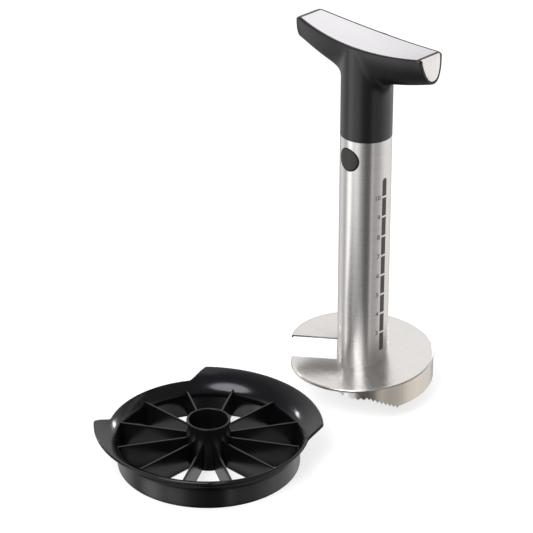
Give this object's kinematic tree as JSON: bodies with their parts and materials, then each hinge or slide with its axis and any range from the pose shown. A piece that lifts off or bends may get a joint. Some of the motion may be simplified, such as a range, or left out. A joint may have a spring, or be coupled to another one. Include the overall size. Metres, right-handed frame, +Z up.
{
  "type": "pineapple slicer",
  "caption": "T-handled slicer with a toothed coring tube and a spiral blade, a sprung release button, and a separate round wedger with radial blades and raised grips",
  "frame": {"origin": "middle of the floor rectangle that the slicer and the wedger cover together, on the floor", "axes": "+Z up along the coring tube, +X along the handle bar, +Y from the wedger towards the slicer; the button faces -Y"},
  "size_m": [0.1246, 0.2458, 0.2449],
  "materials": {
    "tube_steel": "brushed round the tube",
    "blade_steel": "brushed round the rim",
    "handle_black": "satin, lightly moulded",
    "plate_steel": "bright, finely brushed along the bar",
    "spigot_grey": "moulded",
    "zinc_steel": "zinc plated",
    "button_black": "satin",
    "spring_steel": "drawn wire",
    "ring_black": "glossy moulded",
    "wedge_black": "semi-gloss moulded"
  },
  "bodies": {
    "slicer": {"coring_tube": "tube_steel", "spiral_blade": "blade_steel", "handle_body": "handle_black", "handle_top_plate": "plate_steel", "end_plate_left": "plate_steel", "end_plate_right": "plate_steel", "handle_spigot": "spigot_grey", "spigot_screw": "zinc_steel", "spigot_washer": "zinc_steel", "button_spring": "spring_steel"},
    "button": {"release_button": "button_black"},
    "wedger": {"grip_ring": "ring_black", "wedge_hub": "wedge_black", "wedge_blade_01": "wedge_black", "wedge_blade_02": "wedge_black", "wedge_blade_03": "wedge_black", "wedge_blade_04": "wedge_black", "wedge_blade_05": "wedge_black", "wedge_blade_06": "wedge_black", "wedge_blade_07": "wedge_black", "wedge_blade_08": "wedge_black", "wedge_blade_09": "wedge_black", "wedge_blade_10": "wedge_black", "wedge_blade_11": "wedge_black", "wedge_blade_12": "wedge_black"}
  },
  "joints": [
    {"name": "button_press", "type": "slide", "parent": "slicer", "child": "button", "axis": [0, 1, 0], "range_m": [0, 0.003], "stiffness_N_per_m": 400, "springref_m": -0.005, "deforming": ["button_spring"]},
    {"name": "wedger_lift", "type": "slide", "parent": "slicer", "child": "wedger", "axis": [0, 0, 1], "range_m": [0, 0.1]}
  ]
}
